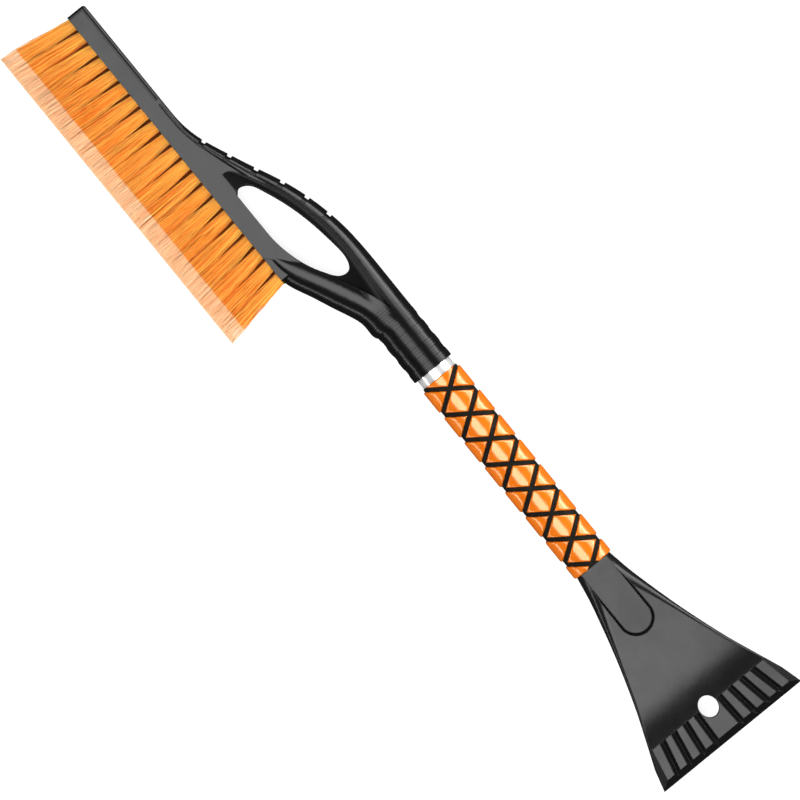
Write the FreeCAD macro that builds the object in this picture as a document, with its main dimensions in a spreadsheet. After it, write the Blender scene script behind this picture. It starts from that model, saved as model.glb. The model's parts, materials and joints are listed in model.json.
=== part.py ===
"""Windshield snow brush with ice scraper: a moulded brush head with a D-shaped hand hole,
an aluminium tube with a foam grip, and a moulded scraper, held together by a snap button.

Drawing axes, in millimetres: X runs along the tube from the free end of the brush head to the
scraping edge, Y crosses it with the bristles towards -Y, and Z is up out of the front face.
X = 0 is the free end of the brush head, and Y = Z = 0 is the tube's axis. Every sub-part is
then moved so that the origin lies under the middle of the object, on the surface it rests on.
"""

import FreeCAD, Part
import math
import os

from FreeCAD import Placement, Rotation, Vector

doc = FreeCAD.newDocument("snow_brush")

# --------------------------------------------------------------------------------------
# Driving dimensions
# --------------------------------------------------------------------------------------

DIMENSIONS = [
    ("overall_length", 686.0, "free end of the brush head to the scraping edge"),
    ("rest_height", 16.5, "tube axis above the surface the tool lies on"),
    ("spine_length", 240.0, "straight bar that carries the bristles"),
    ("spine_top", -28.5, "upper edge of the bar"),
    ("spine_bottom", -43.5, "face the bristles grow from"),
    ("spine_half_width", 13.0, "half of the bar's width in Z"),
    ("spine_corner", 3.0, "rounding of the bar's long edges"),
    ("spine_core", 11.0, "half width of the bar where the lower rail covers it"),
    ("bead_height", 3.7, "raised bead left along the bar's upper edge"),
    ("bead_depth", 1.0, "how far the bar's faces lie below the bead"),
    ("bead_end", 84.0, "the bead runs to here, where the upper rail leaves the bar"),
    ("hand_hole_web", 8.5, "half thickness of the web where the rails meet"),
    ("recess_height", 8.6, "sloping recess round the hand hole: its height in Z at recess_y"),
    ("recess_y", -14.0, "line across the hand hole where recess_height is taken"),
    ("recess_slope", 11.0, "fall of the recess towards the upper rail, in degrees"),
    ("face_start", 2.5, "the bar's sunk faces leave a rim of this width at its free end"),
    ("spine_edge", 2.0, "rounding of the bar's edges at its free end"),
    ("bar_end_rounding", 8.0, "rounding of the bar's right end, where the lower rail starts"),
    ("notch_width", 4.0, "finger notches across the upper rail"),
    ("notch_depth", 1.8, "how far they cut into the rail's outer line"),
    ("socket_start", 300.0, "where the round socket leaves the rails"),
    ("socket_mouth", 352.5, "open end of the socket, where the tube goes in"),
    ("socket_radius", 16.5, "over the crests of its ribs"),
    ("socket_valley", 16.0, "between the ribs"),
    ("socket_floor", 303.0, "bottom of the socket's bore"),
    ("rib_pitch", 12.7, "one crest and one valley"),
    ("tube_radius", 14.0, "outside of the aluminium tube"),
    ("tube_wall", 1.2, "thickness of the tube"),
    ("tube_start", 303.6, "end of the tube inside the socket"),
    ("tube_end", 529.8, "end of the tube against the scraper's neck"),
    ("running_gap", 0.06, "radial clearance of parts that slide in one another"),
    ("tuft_count_front", 21, "tufts in the front row; the rear row has one less, between them"),
    ("tuft_pitch", 11.5, "distance between tufts at the bar"),
    ("tuft_first", 5.5, "first tuft from the free end"),
    ("tuft_tip_pitch", 12.2, "distance between tufts at their tips"),
    ("tuft_tip_first", -1.2, "middle of the first tuft at its tip"),
    ("tuft_root_radius", 3.1, "tuft where it leaves the bar"),
    ("tuft_root_depth", 7.0, "length of tuft held inside the bar"),
    ("tuft_hole_depth", 9.2, "blind hole that takes the tuft and its anchor"),
    ("tuft_row_offset", 6.5, "rows lie this far in front of and behind the axis"),
    ("tuft_tip_y", -98.4, "trimmed end of the bristles"),
    ("tuft_tip_half_length", 5.95, "half of a tuft along X at its tip"),
    ("tuft_tip_half_depth", 8.1, "half of a tuft along Z at its tip"),
    ("tuft_tip_offset", 8.4, "middle of a row's tips in Z"),
    ("anchor_length", 5.6, "flat wire that holds a folded tuft in its hole"),
    ("anchor_height", 1.6, "width of the anchor's wire, along the hole"),
    ("anchor_thickness", 0.5, "thickness of the anchor's wire"),
    ("grip_start", 359.5, "foam grip's end towards the brush head"),
    ("grip_end", 530.0, "foam grip's end against the scraper"),
    ("sleeve_radius", 14.9, "black foam under the pads"),
    ("pad_radius", 16.3, "outside of the raised foam pads"),
    ("groove_first", 370.5, "first crossing of the grooves between the pads"),
    ("groove_pitch", 22.55, "distance between crossings"),
    ("groove_width", 2.7, "width of the grooves between the pads"),
    ("groove_slope", 0.68, "run of a groove along X for each millimetre across"),
    ("groove_count", 8, "grooves of each of the two families"),
    ("spigot_start", 486.0, "scraper's plug inside the tube"),
    ("tongue_half_width", 11.2, "raised thumb rest on the scraper's neck"),
    ("tongue_end", 577.0, "centre of its round end"),
    ("tongue_groove", 2.0, "width and depth of the bevelled groove round the thumb rest"),
    ("tongue_plane_x", 546.0, "the neck's face as a plane: a point of it"),
    ("tongue_plane_z", 12.3, "height of that point"),
    ("tongue_plane_slope", 6.6, "and its fall towards the blade, in degrees"),
    ("blade_corner", 670.0, "where the plate's sides turn outwards"),
    ("ribs_start", 657.0, "upper ends of the plate's ribs"),
    ("ribs_end", 680.6, "lower ends of the ribs, where the scraping edge's bevel starts"),
    ("blade_half_thickness", 1.7, "front of the plate between the ribs"),
    ("blade_back", 2.3, "flat back of the plate behind the ribs"),
    ("edge_half_thickness", 0.4, "scraping edge"),
    ("rib_gap", 5.4, "width of the V-shaped gaps between ribs, at their tops"),
    ("side_bevel", 20.0, "fall of the plate outside the ribs, in degrees"),
    ("hang_hole_x", 658.5, "middle of the oval hole for hanging the tool up"),
    ("hang_hole_length", 16.5, "hole along the tool"),
    ("hang_hole_width", 14.0, "hole across the tool"),
    ("pin_radius", 1.5, "cross pin through tube and scraper plug"),
    ("pin_x", 508.0, "middle of the cross pin"),
    ("button_x", 327.0, "snap button on the back of the socket"),
    ("button_radius", 3.7, "snap button where it passes tube and socket"),
    ("button_top", 16.1, "button's end from the tube axis"),
    ("button_flange_radius", 5.0, "flange that keeps the button in the tube"),
    ("button_flange_top", 11.6, "flange's face against the tube, from the tube axis"),
    ("button_flange_height", 1.0, "thickness of the flange"),
    ("spring_width", 8.0, "width of the leaf spring's strip"),
    ("spring_thickness", 0.7, "thickness of the strip"),
]

sheet = doc.addObject("Spreadsheet::Sheet", "Dims")
for row, (alias, value, meaning) in enumerate(DIMENSIONS, start=1):
    sheet.set("A%d" % row, alias)
    sheet.set("B%d" % row, str(value))
    sheet.set("C%d" % row, meaning)
    sheet.setAlias("B%d" % row, alias)
doc.recompute()


def dim(alias):
    """Value of one driving dimension."""
    return float(sheet.get(alias))


# Cutting shapes reach at least this far past what they cut.
CLEAR = 30.0

# Middle of the object's outline, which the sub-parts are moved from.
first_tip = dim("tuft_tip_first") - dim("tuft_tip_half_length")
SCRAPER_HALF_WIDTH = 62.0
MIDDLE_X = (first_tip + dim("overall_length")) / 2
MIDDLE_Y = (dim("tuft_tip_y") + SCRAPER_HALF_WIDTH) / 2

SUBPARTS = []


def subpart(piece, label):
    """Names a finished piece and moves it to the object's own frame."""
    piece.Label = label
    shift = Placement(Vector(-MIDDLE_X, -MIDDLE_Y, dim("rest_height")), Rotation())
    piece.Placement = shift.multiply(piece.Placement)
    SUBPARTS.append(piece)
    return piece


def bind(piece, **expressions):
    """Binds properties to cells of the sheet; a cell is written as its alias alone."""
    for prop, expression in expressions.items():
        piece.setExpression(prop.replace("__", "."), expression)
    return piece


# --------------------------------------------------------------------------------------
# Helpers for shapes
# --------------------------------------------------------------------------------------


def cut(name, base, *tools):
    """Base less its tools."""
    tool = tools[0]
    if len(tools) > 1:
        tool = doc.addObject("Part::Compound", name + "_tools")
        tool.Links = list(tools)
    result = doc.addObject("Part::Cut", name)
    result.Base = base
    result.Tool = tool
    return result


def fuse(name, *pieces):
    """All pieces as one solid."""
    result = doc.addObject("Part::MultiFuse", name)
    result.Shapes = list(pieces)
    result.Refine = False
    return result


def box(name, x, y, z, length, width, height, rotation=None):
    """Box from its lowest corner, or about that corner if it is turned."""
    piece = doc.addObject("Part::Box", name)
    piece.Length = length
    piece.Width = width
    piece.Height = height
    piece.Placement = Placement(Vector(x, y, z), rotation or Rotation())
    return piece


ALONG_X = Rotation(Vector(0, 1, 0), 90)
ALONG_MINUS_Y = Rotation(Vector(1, 0, 0), 90)


def rod(name, x, y, z, rotation, radius, length):
    """Cylinder from a point along a direction, with radius and length as expressions."""
    piece = doc.addObject("Part::Cylinder", name)
    piece.Placement = Placement(Vector(x, y, z), rotation)
    return bind(piece, Radius=radius, Height=length)


def spline(points, closed=False, ends=None):
    """Smooth curve through points, given as (x, y)."""
    curve = Part.BSplineCurve()
    vectors = [Vector(x, y, 0) for x, y in points]
    if closed:
        curve.interpolate(Points=vectors, PeriodicFlag=True)
    elif ends:
        curve.interpolate(Points=vectors, InitialTangent=ends[0], FinalTangent=ends[1])
    else:
        curve.interpolate(Points=vectors)
    return curve.toShape()


def line(start, end):
    """Straight edge between two points, given as (x, y)."""
    return Part.LineSegment(Vector(start[0], start[1], 0), Vector(end[0], end[1], 0)).toShape()


def prism(name, edges, low, high, rotation=None):
    """Solid of a closed outline in XY, from one height in Z to another."""
    face = Part.Face(Part.Wire(edges))
    face.translate(Vector(0, 0, low))
    solid = face.extrude(Vector(0, 0, high - low))
    piece = doc.addObject("Part::Feature", name)
    piece.Shape = solid
    if rotation:
        piece.Placement = Placement(Vector(), rotation)
    return piece


def section(name, x, y, half_height, half_depth, tilt):
    """Elliptic rail section: half_height across the rail in XY, half_depth along Z."""
    piece = doc.addObject("Part::Ellipse", name)
    piece.MajorRadius = half_depth
    piece.MinorRadius = half_height
    angle = math.radians(tilt)
    across = Vector(-math.sin(angle), math.cos(angle), 0)
    back = Vector(-math.cos(angle), -math.sin(angle), 0)
    turn = Rotation(Vector(0, 0, 1), across, back, "ZXY")
    piece.Placement = Placement(Vector(x, y, 0), turn)
    return piece


def rail(name, sections):
    """Smooth bar through elliptic sections (x, y, half_height, half_depth, tilt)."""
    result = doc.addObject("Part::Loft", name)
    result.Sections = [
        section("%s_section_%d" % (name, number), *values)
        for number, values in enumerate(sections, start=1)
    ]
    result.Solid = True
    result.Ruled = False
    return result


# --------------------------------------------------------------------------------------
# Brush head frame: one moulding with the bar, two rails round the hand hole, and the socket
# --------------------------------------------------------------------------------------

# Outer line of the upper rail, from the bar to the socket.
UPPER_LINE = [(84, -28.5), (104, -28.3), (124, -24.2), (143, -16.6), (162, -8.2), (182, 1.0),
              (201, 7.8), (222, 13.0), (244, 15.8), (266, 16.5), (290, 16.5)]
# Upper rail: x on its outer line, half height across the rail, half depth in Z.
UPPER_RAIL = [(88, 2.6, 12.9), (106, 3.0, 13.0), (126, 4.0, 13.0), (146, 5.4, 13.0), (166, 6.9, 13.0),
              (186, 8.0, 13.1), (206, 8.8, 13.3), (228, 9.8, 13.7), (252, 11.6, 14.6), (274, 14.2, 15.7)]
# Where it joins the socket: centre x and y, half height, half depth, tilt in degrees.
UPPER_RAIL_END = [(294, 0.3, 16.1, 16.3, 0), (312, 0.0, 16.4, 16.4, 0)]
# Lower rail, about the crest that sweeps up from the bar: centre x and y, distance to the outer
# line, half depth, tilt in degrees.
LOWER_RAIL = [
    (213, -39.4, 4.1, 11.4, 18),
    (225, -36.4, 7.3, 12.2, 22),
    (237, -31.0, 12.2, 12.8, 26),
    (251.3, -23.6, 13.2, 13.4, 27),
    (266.3, -15.9, 14.3, 14.4, 24.5),
    (282, -8.6, 14.6, 15.2, 18),
    (298, -3.3, 15.4, 16.1, 9),
    (312, 0.0, 16.4, 16.4, 0),
]
# Right of this line the bar's flat faces give way to the lower rail.
FACE_END = [(216, -45), (238, -23)]
# Corners of the flat face between that line and the hand hole, over the bar's rounded edge.
FACE_SHOULDER = [(204, -33), (228, -33), (238, -23), (204, -23)]
# Flat face that joins bar and upper rail beside the hand hole.
FACE_PLATE = [(96, -31.0), (110, -30.5), (126, -27.4), (146, -20.2), (166, -12.4), (182, -5.4)]
# Hand hole, from the right end of its straight lower side round to the left end of it.
HAND_HOLE = [(206, -29.8), (220, -28.5), (232, -25.6), (244, -20.9), (254.5, -14.8), (261.2, -8.2),
             (261.5, -2.5), (255, 1.4), (242, 1.5), (224, -0.9), (206, -4.7), (190, -9.8),
             (178, -14.6), (169.5, -20.2), (167.4, -25.6), (171, -29.8)]
# Stepped flange round the hand hole and web between the rails: its upper line, from the left,
# and its lower line back from the rails' meeting point. It closes through the hand hole.
FLANGE_UPPER = [(154, -29.0), (154.3, -25.2), (160, -19.7), (170, -14.2), (182, -8.0), (200, -1.1),
                (222, 3.7), (244, 5.6), (270, 4.8), (301, 2.6)]
FLANGE_LOWER = [(301, 1.6), (290, -1.2), (278, -5.8), (266, -11.4), (256, -17)]
NOTCHES = [126.6, 145.6, 164.8, 183.6, 202.8, 221.8]

SOCKET_CRESTS = 4
# One rib of the socket: places along its pitch, and whether they lie in the valley or on the crest.
RIB_SHAPE = [(0.16, "valley"), (0.36, "valley"), (0.58, "crest"), (0.94, "crest")]


def spine_block():
    """Bar with rounded edges, and faces sunk a little below the bead on its upper edge."""
    block = doc.addObject("Part::Box", "spine_box")
    bind(block, Length="Dims.spine_length", Width="Dims.spine_top - Dims.spine_bottom",
         Height="2 * Dims.spine_half_width", Placement__Base__y="Dims.spine_bottom",
         Placement__Base__z="-Dims.spine_half_width")
    doc.recompute()
    rounded = doc.addObject("Part::Fillet", "spine_rounded")
    rounded.Base = block
    edges = []
    for number, edge in enumerate(block.Shape.Edges, start=1):
        middle = edge.CenterOfMass
        upper = abs(middle.y - dim("spine_top")) < 0.1
        left = abs(middle.x) < 0.1
        if upper or left:
            radius = dim("spine_corner") if upper and not left else dim("spine_edge")
            if abs(middle.z) < 0.1 and not (upper and left):
                continue
            if middle.x > dim("spine_length") - 1:
                continue
            edges.append((number, radius, radius))
    rounded.Edges = edges
    low, high = FACE_END
    corners = [low, high, (245, high[1]), (245, low[1]), low]
    outline = [line(a, b) for a, b in zip(corners, corners[1:])]
    core = dim("spine_core")
    front = prism("face_end_front", outline, core, CLEAR)
    back = prism("face_end_back", outline, -CLEAR, -core)
    ends = [bar_end(1), bar_end(-1)]
    return cut("spine", rounded, front, back, *(ends + face_pockets(1) + face_pockets(-1)))


def bar_end(side):
    """What the rounding of the bar's right end takes away on one side."""
    radius = dim("bar_end_rounding")
    centre_x = dim("spine_length") - radius
    centre_z = side * (dim("spine_half_width") - radius)
    low = dim("spine_bottom") - 5
    name = "bar_end_%s" % ("front" if side > 0 else "back")
    start_z = centre_z if side > 0 else centre_z - 2 * radius
    blank = box(name + "_blank", centre_x, low, start_z, 2 * radius, 25, 2 * radius)
    core = rod(name + "_core", centre_x, low + 30, centre_z, ALONG_MINUS_Y,
               "Dims.bar_end_rounding", "35")
    return cut(name, blank, core)


def face_pockets(side):
    """Sunk face on one side of the bar: below the bead at first, then over the whole height."""
    bead = dim("spine_top") - dim("bead_height")
    bottom = dim("spine_bottom") - 1
    low = dim("spine_half_width") - dim("bead_depth")
    height = 6.0
    start = low if side > 0 else -low - height
    name = "face_pocket_%s" % ("front" if side > 0 else "back")
    first = dim("face_start")
    middle = dim("bead_end")
    return [
        box(name, first, bottom, start, middle - first, bead - bottom, height),
        box(name + "_plain", middle, bottom, start, dim("spine_length") - middle + 5,
            dim("spine_top") - bottom + 5, height),
    ]


def socket_profile():
    """Half outline of the socket, turned about the tube axis, with crests and valleys."""
    crest = dim("socket_radius")
    valley = dim("socket_valley")
    pitch = dim("rib_pitch")
    start = dim("socket_start")
    mouth = dim("socket_mouth")
    inside_rails = crest - 1.5
    lip = 0.6
    points = [(start, inside_rails)]
    first = mouth - SOCKET_CRESTS * pitch + pitch / 2
    for number in range(SOCKET_CRESTS):
        left = first + number * pitch - pitch / 2
        for share, radius in RIB_SHAPE:
            points.append((left + share * pitch, valley if radius == "valley" else crest))
    points.append((mouth - lip, crest))
    points.append((mouth, crest - lip))
    points.append((mouth, 0.0))
    points.append((start, 0.0))
    points.append(points[0])
    return [line(a, b) for a, b in zip(points, points[1:])]


def socket():
    """Ribbed round socket."""
    profile = doc.addObject("Part::Feature", "socket_profile")
    profile.Shape = Part.Face(Part.Wire(socket_profile()))
    turned = doc.addObject("Part::Revolution", "socket_turned")
    turned.Source = profile
    turned.Axis = Vector(1, 0, 0)
    turned.Base = Vector(0, 0, 0)
    turned.Angle = 360
    turned.Solid = True
    return turned


UPPER_CURVE = spline(UPPER_LINE)


def outline_at(x):
    """Point of the upper rail's outer line at x, and its tilt in degrees."""
    upright = Part.LineSegment(Vector(x, -60, 0), Vector(x, 60, 0)).toShape()
    point = UPPER_CURVE.distToShape(upright)[1][0][0]
    tangent = UPPER_CURVE.tangentAt(UPPER_CURVE.Curve.parameter(point))
    return point, math.degrees(math.atan2(tangent.y, tangent.x))


def upper_sections():
    """Elliptic sections whose tops all touch the rail's outer line."""
    sections = []
    for x, half_height, half_depth in UPPER_RAIL:
        point, tilt = outline_at(x)
        angle = math.radians(tilt)
        sections.append((point.x + math.sin(angle) * half_height,
                         point.y - math.cos(angle) * half_height, half_height, half_depth, tilt))
    return sections + UPPER_RAIL_END


def notch(number, x):
    """Groove across the top of the upper rail and a little way down both its faces."""
    width = dim("notch_width")
    depth = dim("notch_depth")
    half_height = 5.2
    half_depth = 13.0
    top, tilt = outline_at(x)
    angle = math.radians(tilt)
    normal = Vector(-math.sin(angle), math.cos(angle), 0)
    centre = top - normal * half_height
    turn = Rotation(Vector(0, 0, 1), tilt)
    core = doc.addObject("Part::Ellipse", "notch_core_%d" % number)
    core.MajorRadius = half_depth - depth * 0.75
    core.MinorRadius = half_height - depth
    back = Vector(-math.cos(angle), -math.sin(angle), 0)
    core.Placement = Placement(
        centre + back * width, Rotation(Vector(0, 0, 1), normal, back, "ZXY"))
    solid_core = doc.addObject("Part::Extrusion", "notch_core_solid_%d" % number)
    solid_core.Base = core
    solid_core.DirMode = "Custom"
    solid_core.Dir = back * -1
    solid_core.LengthFwd = 2 * width
    solid_core.Solid = True
    corner = centre + back * (width / 2) + normal * -0.6 + Vector(0, 0, -20)
    blank = box("notch_blank_%d" % number, corner.x, corner.y, corner.z, width, 14, 40, turn)
    return cut("notch_%d" % number, blank, solid_core)


def tuft_points(row):
    """Root and tip centres, as (x, y) in XZ, of every tuft of a row."""
    count = int(dim("tuft_count_front"))
    stagger = 0.0
    if row == "rear":
        count -= 1
        stagger = 0.5
    for number in range(count):
        root = dim("tuft_first") + (number + stagger) * dim("tuft_pitch")
        tip = dim("tuft_tip_first") + (number + stagger) * dim("tuft_tip_pitch")
        yield number + 1, root, tip


ROW_SIDE = {"front": 1, "rear": -1}


def tuft_holes():
    """Blind holes in the bristle face."""
    holes = []
    for row, side in ROW_SIDE.items():
        for number, root, tip in tuft_points(row):
            holes.append(rod("hole_%s_%02d" % (row, number), root,
                             dim("spine_bottom") + dim("tuft_hole_depth"),
                             side * dim("tuft_row_offset"), ALONG_MINUS_Y,
                             "Dims.tuft_root_radius + 0.15", "Dims.tuft_hole_depth + 5"))
    return holes


def recess(name, outline, side):
    """Room over the sloping flange and web round the hand hole, on one side."""
    low, high = (0, CLEAR) if side > 0 else (-CLEAR, 0)
    piece = prism(name, outline, low, high)
    turn = Rotation(Vector(1, 0, 0), -side * dim("recess_slope"))
    pivot = Vector(0, dim("recess_y"), 0)
    lift = Vector(0, 0, side * dim("recess_height"))
    piece.Placement = Placement(pivot - turn.multVec(pivot) + lift, turn)
    return piece


def brush_head_frame():
    notches = [notch(number, x) for number, x in enumerate(NOTCHES, start=1)]
    upper = cut("upper_rail_notched", rail("upper_rail", upper_sections()), *notches)
    lower = rail("lower_rail", LOWER_RAIL)
    web_height = dim("hand_hole_web")
    web_corners = [(240, 8), (306, 8), (306, -10), (262, -26), (240, -24), (240, 8)]
    web = prism("web", [line(a, b) for a, b in zip(web_corners, web_corners[1:])],
                -web_height, web_height)
    face_height = dim("spine_half_width") - dim("bead_depth")
    plate_edges = [spline(FACE_PLATE), line(FACE_PLATE[-1], (182, -33)), line((182, -33), (96, -33)),
                   line((96, -33), FACE_PLATE[0])]
    face_plate = cut("face_plate_notched",
                     prism("face_plate", plate_edges, -face_height, face_height), *notches)
    shoulder_corners = FACE_SHOULDER + FACE_SHOULDER[:1]
    shoulder = prism("face_shoulder",
                     [line(a, b) for a, b in zip(shoulder_corners, shoulder_corners[1:])],
                     -face_height, face_height)
    flange_edges = [spline(FLANGE_UPPER), line(FLANGE_UPPER[-1], FLANGE_LOWER[0]),
                    spline(FLANGE_LOWER), line(FLANGE_LOWER[-1], (250, -10)),
                    line((250, -10), (176, -29)), line((176, -29), FLANGE_UPPER[0])]
    flange = prism("flange", flange_edges, -face_height, face_height)
    recess_front = recess("recess_front", flange_edges, 1)
    recess_back = recess("recess_back", flange_edges, -1)
    hole_edges = [spline(HAND_HOLE, ends=(Vector(1, 0, 0), Vector(1, -0.9, 0))),
                  line(HAND_HOLE[-1], HAND_HOLE[0])]
    hand_hole = prism("hand_hole", hole_edges, -CLEAR, CLEAR)
    body = fuse("frame_solid", spine_block(), upper, lower, web, face_plate, shoulder,
                flange, socket())
    bore = rod("socket_bore", dim("socket_floor"), 0, 0, ALONG_X,
               "Dims.tube_radius + Dims.running_gap", "Dims.socket_mouth")
    button_hole = rod("button_hole", dim("button_x"), 0, -30, Rotation(),
                      "Dims.button_radius + 0.6", "%f" % CLEAR)
    opened = cut("frame_opened", body, recess_front, recess_back, hand_hole)
    return cut("frame", opened, bore, button_hole, *tuft_holes())


subpart(brush_head_frame(), "brush_head_frame")

# --------------------------------------------------------------------------------------
# Bristle tufts and the flat wire anchors that hold them
# --------------------------------------------------------------------------------------


def tuft(row, number, root, tip):
    """Bundle of bristles: round in its hole, spreading to an oval at the trimmed end."""
    side = ROW_SIDE[row]
    label = "tuft_%s_%02d" % (row, number)
    rings = [
        (root, dim("spine_bottom") + dim("tuft_root_depth"), dim("tuft_row_offset"),
         "Dims.tuft_root_radius", "Dims.tuft_root_radius"),
        (root, dim("spine_bottom"), dim("tuft_row_offset"),
         "Dims.tuft_root_radius", "Dims.tuft_root_radius"),
        (tip, dim("tuft_tip_y"), dim("tuft_tip_offset"),
         "Dims.tuft_tip_half_depth", "Dims.tuft_tip_half_length"),
    ]
    loft = doc.addObject("Part::Loft", label)
    sections = []
    for place, (x, y, z, major, minor) in enumerate(rings, start=1):
        ring = doc.addObject("Part::Ellipse", "%s_ring_%d" % (label, place))
        bind(ring, MajorRadius=major, MinorRadius=minor)
        turn = Rotation(Vector(0, 0, 1), Vector(1, 0, 0), Vector(0, 1, 0), "ZXY")
        ring.Placement = Placement(Vector(x, y, side * z), turn)
        sections.append(ring)
    loft.Sections = sections
    loft.Solid = True
    loft.Ruled = True
    return subpart(loft, label)


def anchors(row):
    """One short piece of flat wire at the bottom of every hole of a row."""
    side = ROW_SIDE[row]
    pieces = []
    for number, root, tip in tuft_points(row):
        piece = doc.addObject("Part::Box", "anchor_%s_%02d" % (row, number))
        bind(piece, Length="Dims.anchor_length", Width="Dims.anchor_height",
             Height="Dims.anchor_thickness")
        low = dim("spine_bottom") + dim("tuft_root_depth") + 0.2
        piece.Placement = Placement(
            Vector(root - dim("anchor_length") / 2, low,
                   side * dim("tuft_row_offset") - dim("anchor_thickness") / 2), Rotation())
        pieces.append(piece)
    group = doc.addObject("Part::Compound", "anchors_%s" % row)
    group.Links = pieces
    return subpart(group, "tuft_anchors_%s" % row)


for row_name in ROW_SIDE:
    for tuft_number, root_x, tip_x in tuft_points(row_name):
        tuft(row_name, tuft_number, root_x, tip_x)
    anchors(row_name)

# --------------------------------------------------------------------------------------
# Handle: aluminium tube, foam sleeve and raised foam pads
# --------------------------------------------------------------------------------------


def ring(name, start, end, outer, inner):
    """Round sleeve on the tube axis; sizes are expressions of the sheet."""
    outside = rod(name + "_outside", 0, 0, 0, ALONG_X, outer, "%s - %s" % (end, start))
    inside = rod(name + "_inside", 0, 0, 0, ALONG_X, inner, "%s - %s" % (end, start))
    bind(outside, Placement__Base__x=start)
    bind(inside, Placement__Base__x=start)
    return cut(name, outside, inside)


def handle_tube():
    wall = ring("tube_wall", "Dims.tube_start", "Dims.tube_end", "Dims.tube_radius",
                "Dims.tube_radius - Dims.tube_wall")
    button_hole = rod("tube_button_hole", dim("button_x"), 0, -20, Rotation(),
                      "Dims.button_radius + 0.08", "20")
    pin_hole = rod("tube_pin_hole", dim("pin_x"), 0, -20, Rotation(),
                   "Dims.pin_radius + 0.02", "40")
    return cut("tube", wall, button_hole, pin_hole)


subpart(handle_tube(), "handle_tube")
subpart(ring("sleeve", "Dims.grip_start", "Dims.grip_end", "Dims.sleeve_radius",
             "Dims.tube_radius + 0.05"), "grip_sleeve")


def groove_slab(number, x, direction):
    """Flat slab across the grip that leaves one straight groove on each face."""
    width = dim("groove_width")
    reach = 60.0
    angle = direction * math.degrees(math.atan(dim("groove_slope")))
    turn = Rotation(Vector(0, 0, 1), -angle)
    corner = Vector(x, 0, 0) + turn.multVec(Vector(-width / 2, -reach / 2, -reach / 2))
    side = "a" if direction > 0 else "b"
    return box("groove_%s_%d" % (side, number), corner.x, corner.y, corner.z,
               width, reach, reach, turn)


def grip_pads():
    """Foam pads left standing between two families of crossing grooves."""
    skin = ring("pad_skin", "Dims.grip_start", "Dims.grip_end", "Dims.pad_radius",
                "Dims.sleeve_radius + 0.02")
    slabs = []
    for number in range(int(dim("groove_count"))):
        x = dim("groove_first") + number * dim("groove_pitch")
        slabs.append(groove_slab(number, x, 1))
        slabs.append(groove_slab(number, x, -1))
    return cut("pads", skin, *slabs)


subpart(grip_pads(), "grip_pads")

# --------------------------------------------------------------------------------------
# Scraper: neck with thumb rest, fan-shaped plate, radiating ribs and a scraping edge
# --------------------------------------------------------------------------------------

# Body sections: x, half width in Y, height of the front face, depth of the back, corner radius.
SCRAPER_SECTIONS = [
    (530, 14.5, 14.5, 14.5, 14.2),
    (546, 17.4, 12.3, 12.3, 10.5),
    (563, 21.4, 10.0, 10.0, 7.0),
    (582, 26.4, 8.3, 8.1, 4.5),
    (602, 32.3, 7.4, 6.6, 3.0),
    (620, 38.2, 7.2, 5.4, 2.4),
    (634, 43.2, 6.1, 4.6, 2.1),
    (643, 46.8, 4.5, 3.9, 1.9),
    (651, 50.0, 2.4, 3.2, 1.5),
    (658, 52.8, 0.5, 2.7, 1.2),
]
# Ribs seen from the front: half width of the middle one, then the gaps between the others as
# the distance of their centre lines from the axis, at the ribs' start and at the edge.
RIB_GAPS = [(10.2, 11.3), (20.1, 23.0), (30.4, 34.7), (40.6, 46.1)]
# Height of the ribs' tops at their start and end, and of the bottom of the gaps.
RIB_TOP = 4.4
RIB_TOP_END = 3.4
RIB_GAP_FLOOR = 0.9
# Distance of the outer ribs' outer sides from the axis, at the ribs' start and end.
RIBS_OUTSIDE = (50.0, 54.8)


def rounded_section(name, x, half_width, front, back, corner):
    """Rectangle with round corners across the tool, as a wire."""
    side = half_width - corner
    low = corner - back
    high = front - corner
    bulge = corner * math.sqrt(0.5)

    def point(y, z):
        return Vector(x, y, z)

    def corner_arc(y, z, sign_y, sign_z, first_y):
        across = point(y + sign_y * corner, z)
        along = point(y, z + sign_z * corner)
        middle = point(y + sign_y * bulge, z + sign_z * bulge)
        ends = (across, along) if first_y else (along, across)
        return Part.Arc(ends[0], middle, ends[1]).toShape()

    edges = [
        Part.LineSegment(point(side + corner, low), point(side + corner, high)).toShape(),
        corner_arc(side, high, 1, 1, True),
        Part.LineSegment(point(side, high + corner), point(-side, high + corner)).toShape(),
        corner_arc(-side, high, -1, 1, False),
        Part.LineSegment(point(-side - corner, high), point(-side - corner, low)).toShape(),
        corner_arc(-side, low, -1, -1, True),
        Part.LineSegment(point(-side, low - corner), point(side, low - corner)).toShape(),
        corner_arc(side, low, 1, -1, False),
    ]
    piece = doc.addObject("Part::Feature", name)
    piece.Shape = Part.Wire(edges)
    return piece


def scraper_shell():
    """Neck that flattens and widens into the plate."""
    shell = doc.addObject("Part::Loft", "scraper_shell")
    shell.Sections = [
        rounded_section("scraper_section_%d" % number, *values)
        for number, values in enumerate(SCRAPER_SECTIONS, start=1)
    ]
    shell.Solid = True
    return shell


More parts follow.
